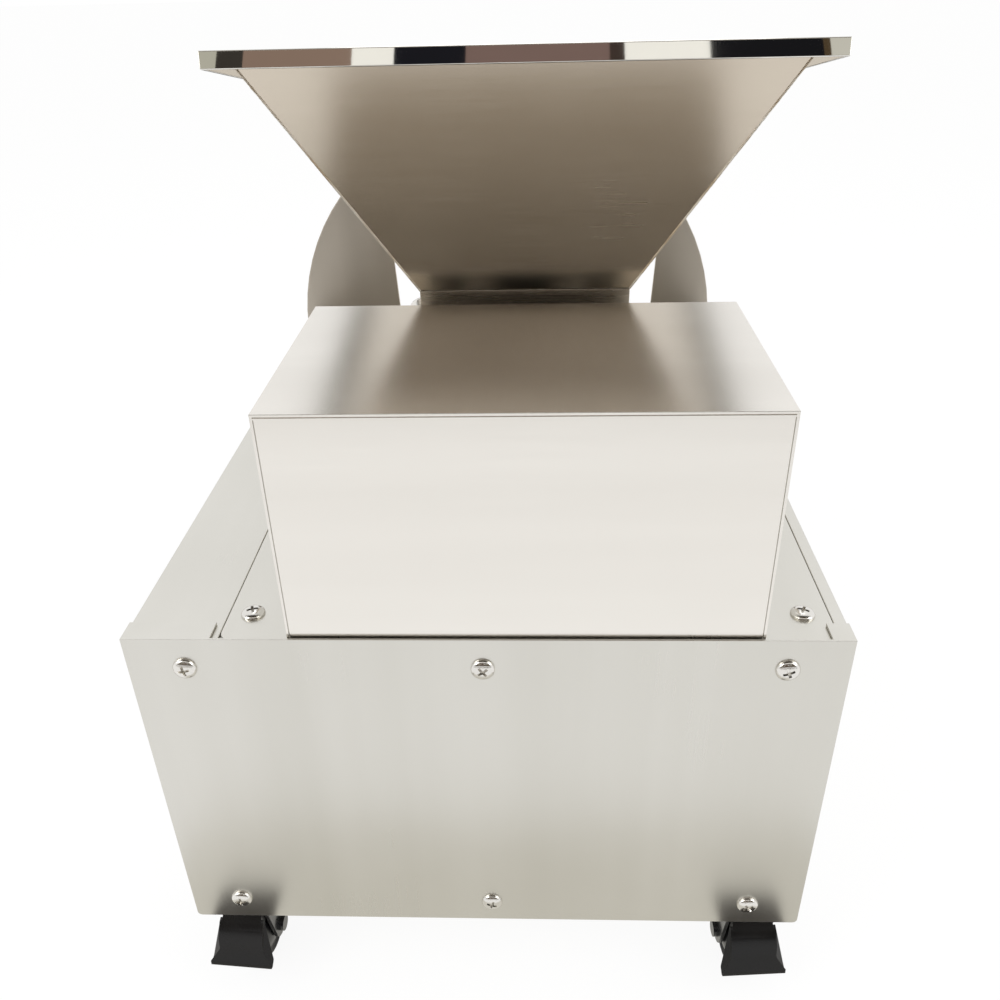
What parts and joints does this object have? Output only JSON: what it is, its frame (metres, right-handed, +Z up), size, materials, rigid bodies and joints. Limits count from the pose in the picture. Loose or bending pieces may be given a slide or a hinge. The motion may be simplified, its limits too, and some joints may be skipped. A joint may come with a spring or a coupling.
{
  "type": "grape crusher destemmer",
  "caption": "Stainless wheeled cabinet with a tilted square hopper over lobed rollers, a beater in a perforated screen, a juice spout and a stem outlet.",
  "frame": {"origin": "centre of the overall box in plan, on the floor under the castors", "axes": "+X to the right as seen from the screwed front panel, +Y from that panel to the arched end panel, +Z up"},
  "size_m": [0.4484, 0.5308, 0.5886],
  "materials": {
    "stainless": "fine brushed stainless sheet",
    "polished_rim": "mirror polished stainless",
    "bright_fastener": "bright stainless",
    "roller_aluminium": "satin cast aluminium",
    "machined_steel": "oiled machined steel",
    "cast_iron": "dark cast iron",
    "castor_paint": "black stoved paint",
    "white_nylon": "matt nylon",
    "belt_rubber": "matt rubber",
    "wheel_plastic": "black nylon wheel",
    "motor_paint": "semi-gloss enamel",
    "black_plastic": "satin moulded plastic",
    "red_plastic": "glossy moulded plastic"
  },
  "bodies": {
    "cabinet": {"front_panel": "stainless", "left_side_panel": "stainless", "right_side_panel": "stainless", "rear_end_panel": "stainless", "deck_plate": "stainless", "base_plate": "stainless", "bulkhead": "stainless", "drive_cover": "stainless", "front_screw_1": "bright_fastener", "front_screw_2": "bright_fastener", "front_screw_3": "bright_fastener", "front_screw_4": "bright_fastener", "front_screw_5": "bright_fastener", "front_screw_6": "bright_fastener", "cover_screw_left": "bright_fastener", "cover_screw_right": "bright_fastener", "neck_cap_bolt": "bright_fastener", "hopper": "stainless", "hopper_rim": "polished_rim", "roller_housing": "stainless", "roller_bush_front_left": "white_nylon", "roller_bush_front_right": "white_nylon", "roller_bush_rear_left": "white_nylon", "roller_bush_rear_right": "white_nylon", "roller_chain": "machined_steel", "drive_belt": "belt_rubber", "motor_body": "motor_paint", "beater_bearing_front": "cast_iron", "beater_bearing_rear": "cast_iron", "bearing_bar": "stainless", "destemming_screen": "stainless", "must_tray": "stainless", "switch_box": "black_plastic", "cable_gland": "black_plastic", "castor_plate_front_left": "castor_paint", "castor_plate_front_right": "castor_paint", "castor_plate_rear_left": "castor_paint", "castor_plate_rear_right": "castor_paint"},
    "left_roller": {"crush_roller_left": "roller_aluminium", "roller_gear_left": "machined_steel"},
    "right_roller": {"crush_roller_right": "roller_aluminium", "roller_gear_right": "machined_steel", "roller_sprocket": "machined_steel"},
    "beater_shaft": {"beater": "stainless", "beater_pulley": "cast_iron", "beater_sprocket": "machined_steel"},
    "motor_rotor": {"motor_shaft": "machined_steel", "motor_pulley": "cast_iron"},
    "rocker": {"rocker_switch": "red_plastic"},
    "front_left_swivel": {"castor_fork_front_left": "castor_paint"},
    "front_right_swivel": {"castor_fork_front_right": "castor_paint"},
    "rear_left_swivel": {"castor_fork_rear_left": "castor_paint"},
    "rear_right_swivel": {"castor_fork_rear_right": "castor_paint"},
    "front_left_wheel": {"castor_wheel_front_left": "wheel_plastic"},
    "front_right_wheel": {"castor_wheel_front_right": "wheel_plastic"},
    "rear_left_wheel": {"castor_wheel_rear_left": "wheel_plastic"},
    "rear_right_wheel": {"castor_wheel_rear_right": "wheel_plastic"},
    "front_left_brake": {"brake_pedal_front_left": "black_plastic"},
    "front_right_brake": {"brake_pedal_front_right": "black_plastic"}
  },
  "joints": [
    {"name": "beater_spin", "type": "hinge", "parent": "cabinet", "child": "beater_shaft", "pos_m": [0.02214, -0.08887, 0.208], "axis": [0, 1, 0], "continuous": true},
    {"name": "motor_spin", "type": "hinge", "parent": "cabinet", "child": "motor_rotor", "pos_m": [-0.11506, -0.22887, 0.135], "axis": [0, 1, 0], "continuous": true},
    {"name": "right_roller_spin", "type": "hinge", "parent": "cabinet", "child": "right_roller", "pos_m": [0.05214, -0.07287, 0.391], "axis": [0, 1, 0], "continuous": true},
    {"name": "left_roller_spin", "type": "hinge", "parent": "cabinet", "child": "left_roller", "pos_m": [-0.00786, -0.07287, 0.391], "axis": [0, 1, 0], "continuous": true},
    {"name": "rocker_throw", "type": "hinge", "parent": "cabinet", "child": "rocker", "pos_m": [-0.21806, -0.12887, 0.22], "axis": [0, 1, 0], "range_deg": [0, 14]},
    {"name": "front_left_swivel_turn", "type": "hinge", "parent": "cabinet", "child": "front_left_swivel", "pos_m": [-0.17106, -0.20287, 0.07], "axis": [0, 0, 1], "continuous": true},
    {"name": "front_right_swivel_turn", "type": "hinge", "parent": "cabinet", "child": "front_right_swivel", "pos_m": [0.17094, -0.20287, 0.07], "axis": [0, 0, 1], "continuous": true},
    {"name": "rear_left_swivel_turn", "type": "hinge", "parent": "cabinet", "child": "rear_left_swivel", "pos_m": [-0.17106, 0.19613, 0.07], "axis": [0, 0, 1], "continuous": true},
    {"name": "rear_right_swivel_turn", "type": "hinge", "parent": "cabinet", "child": "rear_right_swivel", "pos_m": [0.17094, 0.19613, 0.07], "axis": [0, 0, 1], "continuous": true},
    {"name": "front_left_wheel_roll", "type": "hinge", "parent": "front_left_swivel", "child": "front_left_wheel", "pos_m": [-0.17273, -0.22681, 0.025], "axis": [0.9976, -0.0698, 0], "continuous": true},
    {"name": "front_right_wheel_roll", "type": "hinge", "parent": "front_right_swivel", "child": "front_right_wheel", "pos_m": [0.17261, -0.22681, 0.025], "axis": [0.9976, 0.0698, 0], "continuous": true},
    {"name": "rear_left_wheel_roll", "type": "hinge", "parent": "rear_left_swivel", "child": "rear_left_wheel", "pos_m": [-0.16525, 0.17284, 0.025], "axis": [0.9703, 0.2419, 0], "continuous": true},
    {"name": "rear_right_wheel_roll", "type": "hinge", "parent": "rear_right_swivel", "child": "rear_right_wheel", "pos_m": [0.16719, 0.17243, 0.025], "axis": [0.9877, -0.1564, 0], "continuous": true},
    {"name": "front_left_brake_lift", "type": "hinge", "parent": "front_left_swivel", "child": "front_left_brake", "pos_m": [-0.17364, -0.23979, 0.0557], "axis": [0.9976, -0.0698, 0], "range_deg": [-18, 0]},
    {"name": "front_right_brake_lift", "type": "hinge", "parent": "front_right_swivel", "child": "front_right_brake", "pos_m": [0.17352, -0.23979, 0.0557], "axis": [0.9976, 0.0698, 0], "range_deg": [-18, 0]}
  ],
  "couplings": [
    {"joint": "motor_spin", "follows": "beater_spin", "ratio": 2.4},
    {"joint": "right_roller_spin", "follows": "beater_spin", "ratio": 0.5},
    {"joint": "left_roller_spin", "follows": "beater_spin", "ratio": -0.5}
  ]
}
